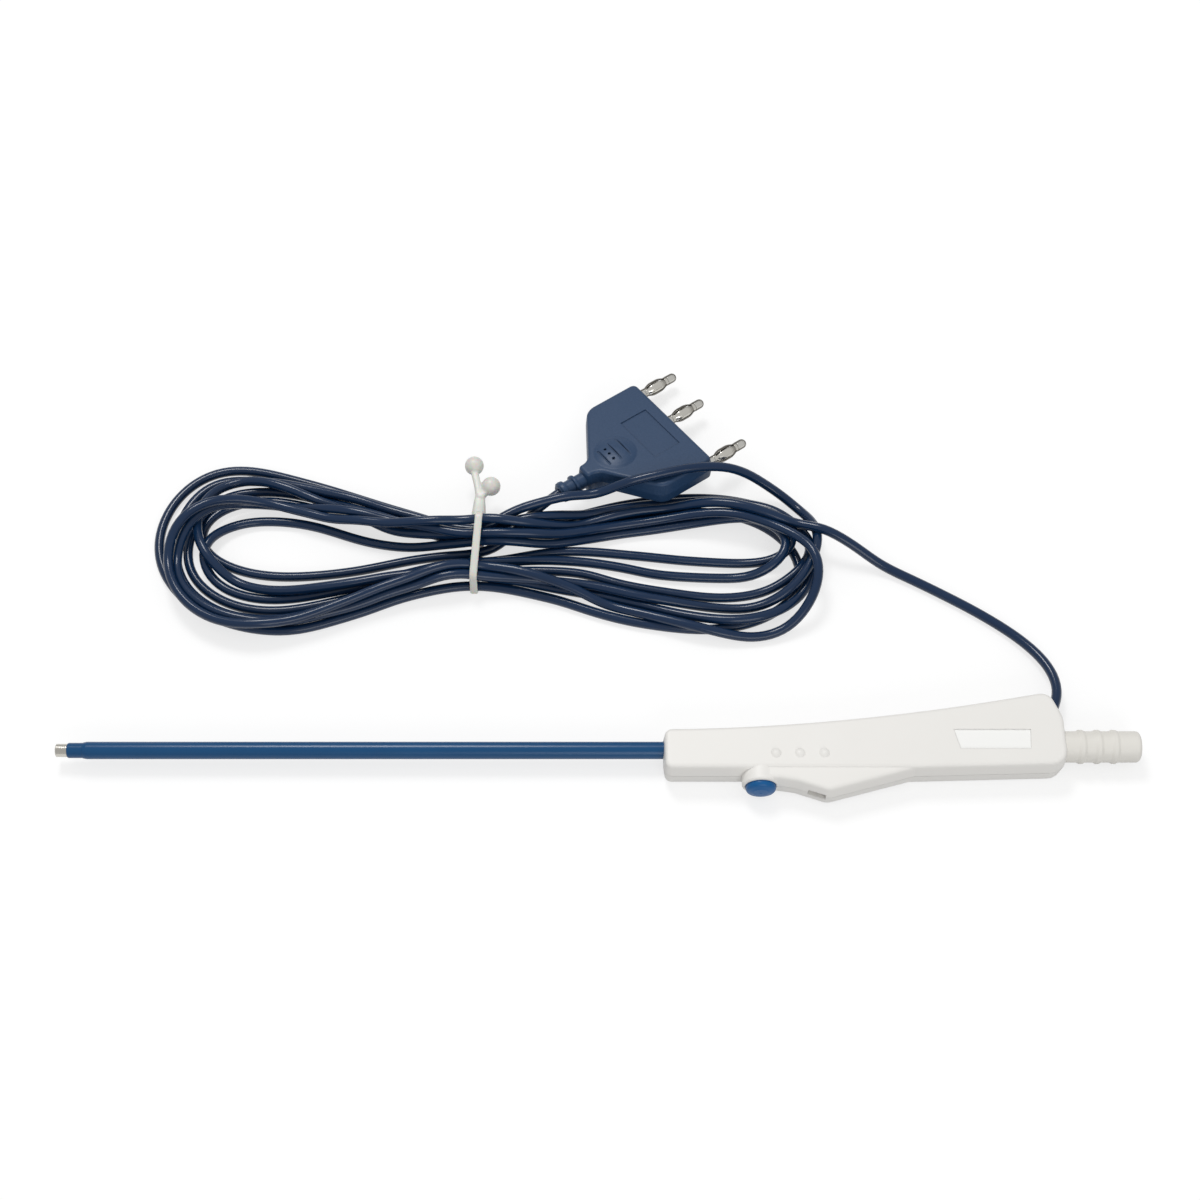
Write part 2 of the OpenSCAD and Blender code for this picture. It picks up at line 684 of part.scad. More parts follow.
// An inner wire, from the cord's end over the fitting and down to the board
module inner_wire(side) {
    drop = board_top;
    z = side * wire_z;
    cord_tube([[crimp_x, cord_y, side * (wire_r + slip)],
        [crimp_x - rib_t - 3 * gap, cord_y, side * (wire_r + slip)],
        [crimp_x - rib_t - 3 * wire_d, cord_y - wire_r, side * (wire_r + wire_z) / 2],
        [handle_l * fitting_rib_shares[1], (wire_y + cord_y) / 2, z],
        [handle_l * post_high_share, wire_y + wire_r / 2, z], [handle_l * belly_share, wire_y, z],
            [duct_root, wire_y, z],
        [socket_x + wire_d, wire_y - wire_r, z], [wire_x + 2 * wire_d, wire_y - 3 * wire_r, z],
        [wire_x + wire_r, wire_y - 5 * wire_r, z], [wire_x, 0, z], [wire_x, drop, z]], wire_r, cord_sides);
}

module active_wire() color([0.75, 0.1, 0.1]) lying() inner_wire(1);

module switch_wire() color([0.9, 0.9, 0.9]) lying() inner_wire(-1);

module cord_crimp() color([0.7, 0.7, 0.7]) lying()
    translate([0, cord_y, 0])
        sleeve(crimp_x, crimp_x + crimp_l, cord_r + slip + crimp_t, cord_r + slip);

module cord_lead() color([0.08, 0.15, 0.3]) cord_tube(lead_points, cord_r, cord_sides);

// One loop of the hank: round far end, straight sides drawn in to the waist
function loop_path(far, side, shrink) = concat(
    [for (i = [0 : hank_arc_steps]) let (a = -hank_arc + 2 * hank_arc * i / hank_arc_steps)
        [far.x + side * (far.z - shrink) * cos(a), far.y + (far.z - shrink) * sin(a)]],
    [for (k = [1, -1]) [hank_waist.x + side * max(shrink, gap),
        hank_waist.y + k * max(hank_waist.z - shrink, hank_waist.z / 3)]]);

module hank_loop(far, side) linear_extrude(hank_h) difference() {
    polygon(loop_path(far, side, 0));
    polygon(loop_path(far, side, hank_band));
}

module cord_hank() color([0.08, 0.15, 0.3]) difference() {
    union() {
        hank_loop(hank_left, -1);
        hank_loop(hank_right, 1);
        translate([hank_waist.x - hank_band, hank_waist.y - hank_waist.z, 0])
            cube([2 * hank_band, 2 * hank_waist.z, hank_h]);
    }
    tie_band(slip);
    translate(tie_head - tie_head_size / 2 - [slip, slip, slip])
        cube(tie_head_size + 2 * [slip, slip, slip]);
    plugged() translate([0, 0, -plug_z - slip]) linear_extrude(plug_t) offset(slip) polygon(plug_path());
}

// The strap of the tie round the waist, grown on every side
module tie_band(grow) {
    half = hank_waist.z + slip;
    translate([hank_waist.x - tie_w / 2 - grow, hank_waist.y, 0]) rotate([90, 0, 90])
        linear_extrude(tie_w + 2 * grow)
        difference() {
            polygon([[-half - tie_t - grow, -grow], [half + tie_t + grow, -grow],
                [half + tie_t + grow, hank_h],
                [half / 2, tie_high + grow], [-half / 2, tie_high + grow], [-half - tie_t - grow, hank_h]]);
            polygon([[-half + grow, tie_t + grow], [half - grow, tie_t + grow], [half - grow, hank_h],
                [half / 2 - tie_t / 2, tie_high - tie_t], [-half / 2 + tie_t / 2, tie_high - tie_t],
                    [-half + grow, hank_h]]);
        }
}

module cord_tail() color([0.08, 0.15, 0.3]) cord_tube(tail_points, cord_r, cord_sides);

module cord_tie() color([0.85, 0.85, 0.8]) {
    tie_band(0);
    translate(tie_head - tie_head_size / 2) cube(tie_head_size);
    bar(tie_head, tie_balls[0], tie_stem_r);
    bar(tie_fork, tie_balls[1], tie_stem_r * 0.9);
    for (b = tie_balls) translate(b) sphere(r = tie_ball_r);
}

// The plug's own frame: X along the pins, Y towards the first pin, Z up
module plugged() translate(plug_at) rotate([-plug_tilt, 0, 0]) rotate([0, 0, plug_turn])
    rotate([0, plug_roll, 0])
    children();

function plug_path() = let (x = -plug_l * plug_side_share)
    rounded([[0, plug_mid - plug_half], [0, plug_mid + plug_half], [x, plug_mid + plug_half],
        [plug_neck_l - plug_l, plug_mid + plug_neck], [-plug_l, plug_mid + plug_neck],
        [-plug_l, plug_mid - plug_neck], [plug_neck_l - plug_l, plug_mid - plug_neck],
            [x, plug_mid - plug_half]],
        [plug_corner_r, plug_corner_r, plug_shoulder_r, plug_neck_r, plug_end_r, plug_end_r,
            plug_neck_r, plug_shoulder_r]);

// Mirrored edge rings above and below the plug's parting line
function plug_rings() = let (half = shell_rings(plug_z, plug_lean, plug_edge))
    concat([for (i = [len(half) - 1 : -1 : 1]) [half[i][0], -half[i][1]]], half);

// Strain relief: a neck with a thin flange and a thick one round the cord
function relief_profile() = concat([[0, plug_edge - plug_l], [relief_r, plug_edge - plug_l]],
    [for (k = [0, 1]) each [for (i = [0 : edge_steps]) let (a = 180 * i / edge_steps)
        [relief_r + (flange_r - relief_r) * pow(sin(a), 0.5),
            -plug_l - flange_at[k] + flange_half[k] * cos(a)]]],
    [[relief_r, -plug_l - relief_l], [0, -plug_l - relief_l]]);

module plug_body() color([0.2, 0.29, 0.45]) plugged() difference() {
    union() {
        loft(plug_path(), plug_rings(), [-plug_l / 2, plug_mid]);
        translate([0, plug_mid, 0]) turned(relief_profile());
        translate([-plug_l * disc_share, plug_mid, plug_z]) dome(disc_r, disc_h);
    }
    translate([-plug_l * panel_shares[1] + panel_near, plug_mid - plug_half * panel_shares[1],
        plug_z - panel_deep])
        cube([plug_l * panel_shares[0], 2 * plug_half * panel_shares[1], over]);
    translate([-plug_l * disc_share, plug_mid, plug_z]) {
        for (k = [0 : len(groove_at) - 1]) let (high = dome_height(groove_at[k]) - groove_deep)
            translate([groove_at[k] - groove_w / 2, -groove_l[k] / 2, high])
                cube([groove_w, groove_l[k], over + disc_h]);
        for (k = [-1 : 1])
            translate([dot_hole_at, k * dot_hole_pitch, -groove_deep])
                cylinder(h = over + 2 * disc_h, r = dot_hole_d / 2);
    }
    for (v = pin_places()) translate([0, v, 0]) along_x(-pin_root - slip, over, pin_core_r + slip / 2);
}

// Height of the plug's boss at a distance from its middle
function dome_height(x) = let (ball = (disc_r * disc_r + disc_h * disc_h) / (2 * disc_h))
    sqrt(ball * ball - x * x) - ball + disc_h;

function pin_places() = [pitch_a, 0, -pitch_b];

module plug_pin(k) color([0.8, 0.8, 0.8]) plugged() translate([0, pin_places()[k], 0]) {
    r = pin_core_r;
    turned(concat([[0, -pin_root], [r, -pin_root], [r, cage_x], [cage_core_r, cage_x],
        [cage_core_r, cage_x + cage_l], [r, cage_x + cage_l]],
        [for (i = [0 : edge_steps]) let (a = 90 * i / edge_steps) [r * cos(a), pin_l - r * (1 - sin(a))]]));
}

// A barrel-shaped spring cage, slotted along its length
module pin_cage(k) color([0.85, 0.85, 0.85]) plugged() translate([cage_x, pin_places()[k], 0]) {
    hole = cage_core_r + slip / 2;
    end_r = hole + cage_wall;
    rise = pin_d / 2 - end_r;
    from = slip;
    to = cage_l - slip;
    bow = to - from - 2 * cage_end_l;
    flank = (bow - cage_crown_l) / 2;
    climb = [for (i = [0 : cage_steps]) let (t = i / cage_steps)
        [end_r + rise * sin(90 * t), from + cage_end_l + flank * t]];
    outer = concat(climb, [for (i = [cage_steps : -1 : 0]) [climb[i].x, cage_l - climb[i].y]]);
    difference() {
        turned(concat([[hole, from], [end_r, from]], outer, [[end_r, to], [hole, to]],
            [for (i = [len(outer) - 1 : -1 : 0]) outer[i] - [cage_wall, 0]]));
        for (i = [0 : cage_slots - 1]) rotate([180 * i / cage_slots, 0, 0])
            translate([from + cage_end_l, -cage_slot_w / 2, -pin_d]) cube([bow, cage_slot_w, 2 * pin_d]);
    }
}

upper_shell();
lower_shell();
suction_tube();
inner_sleeve();
outer_sleeve();
suction_fitting();
button();
switch_board();
switch_dome();
tube_clip();
active_wire();
switch_wire();
cord_crimp();
cord_lead();
cord_hank();
cord_tail();
cord_tie();
plug_body();
plug_pin(0);  // plug_pin_1
plug_pin(1);  // plug_pin_2
plug_pin(2);  // plug_pin_3
pin_cage(0);  // pin_cage_1
pin_cage(1);  // pin_cage_2
pin_cage(2);  // pin_cage_3
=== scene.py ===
"""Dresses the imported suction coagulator: its cord wound in a tied hank, the tie, the snap dome under
the button, and every finish.

Lengths are in millimetres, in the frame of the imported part, and become metres where a piece is made.
"""

import math

import bpy
import numpy as np
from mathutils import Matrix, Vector


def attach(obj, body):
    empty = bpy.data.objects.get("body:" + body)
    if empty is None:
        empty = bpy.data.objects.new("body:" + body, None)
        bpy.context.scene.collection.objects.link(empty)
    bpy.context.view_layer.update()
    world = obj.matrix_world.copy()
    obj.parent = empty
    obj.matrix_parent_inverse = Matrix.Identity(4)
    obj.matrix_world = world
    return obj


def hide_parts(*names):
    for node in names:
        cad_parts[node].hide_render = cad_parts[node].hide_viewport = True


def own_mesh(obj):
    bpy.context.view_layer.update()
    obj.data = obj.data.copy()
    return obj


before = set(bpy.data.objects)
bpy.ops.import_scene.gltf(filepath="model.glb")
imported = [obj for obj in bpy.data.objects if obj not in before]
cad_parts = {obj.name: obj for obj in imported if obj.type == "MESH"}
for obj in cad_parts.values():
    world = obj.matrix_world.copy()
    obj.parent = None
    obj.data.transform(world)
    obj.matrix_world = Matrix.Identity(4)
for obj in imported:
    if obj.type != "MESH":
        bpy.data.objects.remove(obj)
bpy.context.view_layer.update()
scene = bpy.context.scene

MM = 0.001

# Camera, as the photograph was taken: 60 degrees above the floor, square to the tube
CAMERA_AT = (0.5, -219.15, 458.82)
CAMERA_TURN = 30
CAMERA_LENS = 60

# Cord: diameter, whole length in metres, and its two ends from the outlet and from the plug. The
# tail and the first points of the lead repeat the route in part.scad.
CORD_D = 2.6
LEAD_PACKED = 14
LEAD = [(115.5, 10.7, 4.75), (117.4, 14.6, 4.4), (117.6, 19.2, 3.7), (116.4, 23.9, 3.0),
        (113.8, 28.5, 2.2), (110, 33, 1.6), (105, 37.3, 1.4), (99, 41.6, 1.4), (93, 45.4, 1.4),
        (86, 49.6, 1.4), (79, 53.4, 1.4), (72, 56.9, 1.5), (65, 60.1, 2), (57, 63.4, 2.7),
        (46, 67, 2.7), (34, 70.5, 2.7), (20, 72, 2.7), (6, 70, 2.7), (-8, 66, 2.7), (-20, 63.7, 2.7)]
TAIL = [(-10.4, 74.2, 8.3), (-14, 71.6, 7.7), (-17.6, 69, 6.2), (-21.5, 65.6, 4.2), (-26, 61.5, 2.2)]

# The hank, turn by turn in the order in which it was wound. A left turn goes out from the tie along
# its low run, round its end and back along its high run, and a right turn the other way about.
WAIST_X = -33
LEFT_TURNS = [
    ([(-48, 57.5), (-66, 53.5), (-83, 52)], (-107, 65), [(-91, 76), (-64, 70)]),
    ([(-50, 46.2), (-65, 40.2), (-83, 35.6)], (-118, 63.5), [(-99, 86), (-79, 81.5), (-52, 72)]),
    ([(-51, 50), (-64, 46), (-86, 41.5)], (-110, 60), [(-92, 79), (-78, 77), (-57, 69)]),
    ([(-51, 52), (-64, 48), (-86, 45)], (-105.5, 58), [(-90, 69.5), (-77, 68), (-58, 62)]),
    ([(-50, 48), (-70, 42), (-90, 38)], (-113.5, 63), [(-100, 82.5), (-80, 79), (-52, 70.5)]),
    ([(-51, 50.5), (-64, 48), (-83, 46.5)], (-107.5, 67),
     [(-96, 81), (-84, 78), (-71, 72.5), (-50, 63.5)]),
    ([(-50, 46.5), (-66, 41), (-88, 36.5)], (-112, 56), [(-92, 74), (-76, 71.5), (-55, 66.5)]),
    ([(-50, 48), (-63, 43), (-78, 36.8), (-91, 34.6)], (-114, 56.5),
     [(-92, 73), (-71, 67.5), (-50, 64)])]
RIGHT_TURNS = [
    ([(-20, 65), (-8, 67.5), (10, 71.5), (28, 72.5)], (54, 53),
     [(28, 36), (11, 38), (-1, 41.3), (-13, 45.6)]),
    ([(-20, 67.6), (-8, 70.5), (8, 75), (27, 77)], (57, 61),
     [(33, 45.5), (17, 47.5), (5, 50), (-7, 53.5)]),
    ([(-20, 62.4), (-8, 64.4), (5, 68), (24, 70), (44, 69.5)], (52.5, 62.5),
     [(44, 56), (24, 57), (11, 58.5), (-10, 60)]),
    ([(-20, 59.8), (-8, 61.8), (5, 65.3), (24, 67.5), (40, 68)], (50.5, 60),
     [(39, 51.5), (17, 52.5), (6, 55), (-10, 57)]),
    ([(-20, 66.3), (-8, 69), (12, 73.5), (31, 75)], (57.5, 56),
     [(36, 37.5), (23, 40), (11, 43.5), (-4, 47)]),
    ([(-20, 69), (-12, 70.8), (-3, 72.6), (12, 75), (24, 78), (37, 80)], (58.5, 62),
     [(38, 42), (23, 43.5), (11, 45), (-4, 48.5)]),
    ([(-20, 61.1), (-8, 63.2), (5, 66.7), (26, 69)], (58, 50),
     [(40, 33.5), (26, 35.5), (2, 43), (-10, 47.5)])]
# Where the strands pass through the tie: the tail's first, then each turn's own
HIGH_SLOTS = [64.2, 66.8, 61.6, 60.3, 65.5, 62.9, 61.2, 64.8]
LOW_SLOTS = [59, 49.4, 53.8, 56.4, 55.1, 51.2, 49.9, 52.5]
# The right turn that lies over the plug's edge, and the last one that passes under the tail
OVER_PLUG = 5
UNDER_TAIL = 1

# The lie of the cord: its points are STEP apart and are laid down in stretches of CHUNK. A hump
# reaches HUMP to each side, or HUMP_RISE times the root of its rise where that is more. EASE is the
# number of points that a corner is rounded over, and points within SAME diameters of one another
# along the cord count as the same strand.
STEP = 1.6
CHUNK = 18
HUMP = 10
HUMP_RISE = 6.5
EASE = 9
SAME = 3

# Tie: the band's width, thickness, lean and shift along X, the neck's line with its widths and
# thicknesses, and the two stems with their balls. SKIN is the grain at which its shells are fused.
TIE_WIDE = 2.1
TIE_THICK = 0.85
TIE_LEAN = 0.075
TIE_SHIFT = 0.95
TIE_STEP = 0.5
NECK = [(-32.1, 66, 7.2), (-31.9, 68.2, 7.3), (-31.8, 70.8, 7.7), (-31.7, 73.4, 8.0)]
NECK_WIDE = [3.9, 3.8, 3.3, 2.6]
NECK_THICK = [2.2, 2.4, 2.1, 1.7]
STEMS = [[(-31.8, 72.8, 8), (-32.4, 76.5, 8.2), (-33.4, 80.8, 8.4)],
         [(-31.6, 72.6, 8), (-30.4, 74.4, 8.2), (-29.4, 75.5, 8.4)]]
STEM_WIDE = 2
BALLS = [(-33.5, 82.8, 8.4), (-28.8, 76.2, 8.4)]
BALL_R = 2.6
SKIN = 0.22

# Snap dome, with the sizes of its node: the middle of its foot on the board, radius, height and
# thickness
DOME_MIDDLE = (40.5, -3.829, 4.75)
DOME_R = 2.3
DOME_H = 0.6
DOME_T = 0.14

# Painted shade on plated metal where it turns from the eye, and the label recess's paler box
PAINTED_RIM_SHADE = (0.10, 0.09, 0.075)
LABEL = ((88.5, -2.8, 9.1), (108.8, 3.4, 9.35), (0.95, 0.95, 0.93))

# Floor: side in metres, grey, and glow where it is seen. Air: its light, and its white where seen.
# Lamps: name, place, side and power in metres and watts.
FLOOR_SIDE = 6
FLOOR_GREY = 0.36
FLOOR_GLOW = 0.68
AIR_LIGHT = 0.57
AIR_WHITE = 1.0
LAMPS = (("key", (-0.15, 0.45, 0.75), 0.24, 2.75), ("fill", (0.2, -0.75, 0.4), 0.5, 1.9))


# Small helpers


def bend(p, q, r, s, count=24):
    """Points of a cubic curve from p to s, pulled towards q and r."""
    t = np.linspace(0, 1, count, endpoint=False)[:, None]
    p, q, r, s = (np.array(v, float) for v in (p, q, r, s))
    return (1 - t) ** 3 * p + 3 * (1 - t) ** 2 * t * q + 3 * (1 - t) * t**2 * r + t**3 * s


def through(points, count=12):
    """A smooth line through points: each stretch leaves along the chord of its neighbours."""
    p = np.array(points, float)
    slope = np.gradient(p, axis=0)
    out = [bend(p[i], p[i] + slope[i] / 3, p[i + 1] - slope[i + 1] / 3, p[i + 1], count)
           for i in range(len(p) - 1)]
    return np.vstack(out + [p[-1:]])


def travelled(points):
    """Distance along a line of points, from its start to each of them."""
    return np.concatenate([[0], np.cumsum(np.linalg.norm(np.diff(points, axis=0), axis=1))])


def evenly(points, step):
    """The same line with its points one step apart."""
    along = travelled(points)
    marks = np.linspace(0, along[-1], int(along[-1] / step) + 1)
    return np.stack([np.interp(marks, along, points[:, i]) for i in range(points.shape[1])], 1)


# The wound cord


def quarter(p, q, first):
    """A quarter of an oval from p to q. first is 0 if it leaves along X, and 1 if along Y."""
    pull = 0.55
    a, b = list(p), list(q)
    a[first] += (q[first] - p[first]) * pull
    b[1 - first] += (p[1 - first] - q[1 - first]) * pull
    return bend(p, a, b, q)


def run(*points):
    """A long flat bend through points that leaves and arrives along X. Each stretch is pulled along
    the chord of its neighbours."""
    pull = 0.35
    p = np.array(points, float)
    slope = np.gradient(p, axis=0) * pull
    slope[[0, -1], 1] = 0
    return np.vstack([bend(p[i], p[i] + slope[i], p[i + 1] - slope[i + 1], p[i + 1])
                      for i in range(len(p) - 1)])


def turn(start, out, end, home, stop):
    """One pass of the cord: out from the tie, round the end of the hank and back to the tie."""
    return [run(start, *out), quarter(out[-1], end, 0), quarter(end, home[0], 1), run(*home, stop)]


def hank_line():
    """The cord seen from above, part by part in the order in which it was wound: tail, turns, lead."""
    line = [through([p[:2] for p in TAIL] + [(WAIST_X, LOW_SLOTS[0])])]
    for k, (low, end, high) in enumerate(LEFT_TURNS):
        line += turn((WAIST_X, LOW_SLOTS[k]), low, end, high, (WAIST_X, HIGH_SLOTS[k]))
        if k < len(RIGHT_TURNS):
            high, end, low = RIGHT_TURNS[k]
            line += turn((WAIST_X, HIGH_SLOTS[k]), high, end, low, (WAIST_X, LOW_SLOTS[k + 1]))
    lead = [p[:2] for p in LEAD[::-1]]
    return line + [run((WAIST_X, HIGH_SLOTS[-1]), lead[0])[:-2], through(lead)]


def high_run(k):
    """The number of the part that is right turn k's high run: each turn before it has four parts."""
    return 5 + 8 * k


def eased(values, reach):
    """A row of values with its corners rounded over a reach of that many."""
    soft = np.hanning(reach + 2)[1:-1]
    half = reach // 2
    ends = ((half, half),) + ((0, 0),) * (values.ndim - 1)
    padded = np.pad(values, ends, mode="reflect", reflect_type="odd")
    return sum(padded[i:i + len(values)] * soft[i] for i in range(reach)) / soft.sum()


def wound_cord(top_of_plug):
    """The whole cord as a line of points: it lies on the floor, and where it crosses what was laid
    before it, it passes over in a long low hump. A later strand at the flat distance h from an
    earlier one lies higher by the square root of the diameter squared less h squared."""
    line = hank_line()
    flat = eased(evenly(np.vstack(line), STEP), EASE)
    along = travelled(flat)
    r = CORD_D / 2
    drawn = travelled(np.vstack(line))
    ends = drawn[np.cumsum([len(part) for part in line]) - 1] * along[-1] / drawn[-1]

    ground = np.full(len(flat), r)
    tail = np.array(TAIL)
    lead = np.array(LEAD[:LEAD_PACKED][::-1])
    marks = travelled(tail[:, :2])
    near = along <= marks[-1]
    ground[near] = np.interp(along[near], marks, tail[:, 2])
    marks = travelled(lead[:, :2])
    near = along >= along[-1] - marks[-1]
    ground[near] = np.interp(along[near] - along[-1] + marks[-1], marks, lead[:, 2])
    over = (along > ends[high_run(OVER_PLUG) - 1]) & (along < ends[high_run(OVER_PLUG) + 1])
    plug = np.array([top_of_plug(p) + r if on else 0 for p, on in zip(flat, over)])

    laid = along.copy()
    laid[along < ends[0]] = ends[high_run(UNDER_TAIL)]
    order = np.argsort(laid, kind="stable")
    height = ground.copy()
    chunk = int(CHUNK / STEP)
    for a in range(chunk, len(flat), chunk):
        now, before = order[a:a + chunk], order[:a]
        near = np.linalg.norm(flat[now, None] - flat[None, before], axis=2)
        apart = np.abs(along[now, None] - along[None, before]) > SAME * CORD_D
        lift = height[None, before] + np.sqrt(np.maximum(CORD_D**2 - near**2, 0))
        lift = np.where((near < CORD_D) & apart, lift, 0).max(1)
        rise = np.maximum(np.maximum(lift, plug[now]), height[now]) - ground[now]
        wide = np.maximum(HUMP, HUMP_RISE * np.sqrt(rise))
        far = np.clip(np.abs(along[None] - along[now, None]) / wide[:, None], 0, 1)
        hump = (rise[:, None] * np.cos(far * math.pi / 2) ** 2).max(0)
        height = np.maximum(height, ground + hump)
    return np.column_stack([flat, eased(height, EASE)])[::-1]


def line_curve(name, points, radius):
    """A round cord along points, as a curve of one open spline."""
    data = bpy.data.curves.new(name, "CURVE")
    data.dimensions = "3D"
    data.bevel_depth = radius * MM
    data.bevel_resolution = 3
    data.use_fill_caps = True
    spline = data.splines.new("POLY")
    spline.points.add(len(points) - 1)
    flat = np.column_stack([points * MM, np.ones(len(points))])
    spline.points.foreach_set("co", flat.ravel())
    spline.use_smooth = True
    piece = bpy.data.objects.new(name, data)
    scene.collection.objects.link(piece)
    return piece


def plug_top(place):
    """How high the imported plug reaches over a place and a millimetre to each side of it, in
    millimetres, or nothing. A ray falls on the plug from a metre above each of them."""
    above = 1
    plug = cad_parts["plug_body"]
    there = plug.matrix_world.inverted()
    best = 0
    for x, y in ((0, 0), (1, 0), (-1, 0), (0, 1), (0, -1)):
        start = Vector(((place[0] + x) * MM, (place[1] + y) * MM, above))
        hit, where, _, _ = plug.ray_cast(there @ start, there.to_3x3() @ Vector((0, 0, -1)))
        if hit:
            best = max(best, (plug.matrix_world @ where).z / MM)
    return best


# Camera


def look_from_photo():
    """The camera at the photograph's place, angle and field of view."""
    data = bpy.data.cameras.new("camera")
    data.lens = CAMERA_LENS
    data.sensor_width = 36
    data.clip_start = 0.01
    data.clip_end = 10
    camera = bpy.data.objects.new("camera", data)
    camera.location = [v * MM for v in CAMERA_AT]
    camera.rotation_euler = (math.radians(CAMERA_TURN), 0, 0)
    scene.collection.objects.link(camera)
    scene.camera = camera


# Finishes


def join(tree, source, target):
    """Links an output to an input."""
    tree.links.new(source, target)


def node(tree, kind, **values):
    """A new node, with its own settings, and its sockets by name."""
    made = tree.nodes.new(kind)
    for key, value in values.items():
        if key in made.inputs:
            made.inputs[key].default_value = value
        else:
            setattr(made, key, value)
    return made


def grain_group():
    """Fine grain of a moulded surface: its cells tilt the normal, and slow clouds give a shade."""
    group = bpy.data.node_groups.new("moulded_grain", "ShaderNodeTree")
    face = group.interface
    for name, kind, default in (("Grain", "NodeSocketFloat", 2000), ("Depth", "NodeSocketFloat", 0.1),
                                ("Clouds", "NodeSocketFloat", 60), ("Edge", "NodeSocketFloat", 0.0002)):
        face.new_socket(name, in_out="INPUT", socket_type=kind).default_value = default
    face.new_socket("Normal", in_out="OUTPUT", socket_type="NodeSocketVector")
    face.new_socket("Shade", in_out="OUTPUT", socket_type="NodeSocketFloat")
    into = group.nodes.new("NodeGroupInput")
    out = group.nodes.new("NodeGroupOutput")
    place = group.nodes.new("ShaderNodeTexCoord")
    cells = node(group, "ShaderNodeTexNoise", Detail=3.0, Roughness=0.6)
    clouds = node(group, "ShaderNodeTexNoise", Detail=4.0, Roughness=0.55)
    edge = node(group, "ShaderNodeBevel", samples=4)
    bump = node(group, "ShaderNodeBump", Distance=0.00005)
    join(group, place.outputs["Object"], cells.inputs["Vector"])
    join(group, place.outputs["Object"], clouds.inputs["Vector"])
    join(group, into.outputs["Grain"], cells.inputs["Scale"])
    join(group, into.outputs["Clouds"], clouds.inputs["Scale"])
    join(group, into.outputs["Edge"], edge.inputs["Radius"])
    join(group, into.outputs["Depth"], bump.inputs["Strength"])
    join(group, cells.outputs["Fac"], bump.inputs["Height"])
    join(group, edge.outputs["Normal"], bump.inputs["Normal"])
    join(group, bump.outputs["Normal"], out.inputs["Normal"])
    join(group, clouds.outputs["Fac"], out.inputs["Shade"])
    return group


GRAIN = grain_group()


def turned_away(tree):
    """A mask that grows where the surface turns away from the eye, which paints shade there."""
    facing = node(tree, "ShaderNodeLayerWeight", Blend=0.5)
    mask = node(tree, "ShaderNodeMapRange", interpolation_type="SMOOTHSTEP")
    mask.inputs["From Min"].default_value = 0.12
    mask.inputs["From Max"].default_value = 0.5
    join(tree, facing.outputs["Facing"], mask.inputs["Value"])
    return mask.outputs["Result"]


def inside_box(tree, low, high):
    """A mask of 1 inside a box and 0 outside: the largest of how far each coordinate lies from the
    box's middle, less half the box's side, is below nothing inside it."""
    low = np.array(low) * MM
    high = np.array(high) * MM
    place = tree.nodes.new("ShaderNodeTexCoord")
    off = node(tree, "ShaderNodeVectorMath", operation="SUBTRACT")
    far = node(tree, "ShaderNodeVectorMath", operation="ABSOLUTE")
    past = node(tree, "ShaderNodeVectorMath", operation="SUBTRACT")
    split = tree.nodes.new("ShaderNodeSeparateXYZ")
    flat = node(tree, "ShaderNodeMath", operation="MAXIMUM")
    most = node(tree, "ShaderNodeMath", operation="MAXIMUM")
    mask = node(tree, "ShaderNodeMath", operation="LESS_THAN")
    off.inputs[1].default_value = (low + high) / 2
    past.inputs[1].default_value = (high - low) / 2
    mask.inputs[1].default_value = 0
    join(tree, place.outputs["Object"], off.inputs[0])
    join(tree, off.outputs[0], far.inputs[0])
    join(tree, far.outputs[0], past.inputs[0])
    join(tree, past.outputs[0], split.inputs[0])
    join(tree, split.outputs["X"], flat.inputs[0])
    join(tree, split.outputs["Y"], flat.inputs[1])
    join(tree, flat.outputs[0], most.inputs[0])
    join(tree, split.outputs["Z"], most.inputs[1])
    join(tree, most.outputs[0], mask.inputs[0])
    return mask.outputs[0]


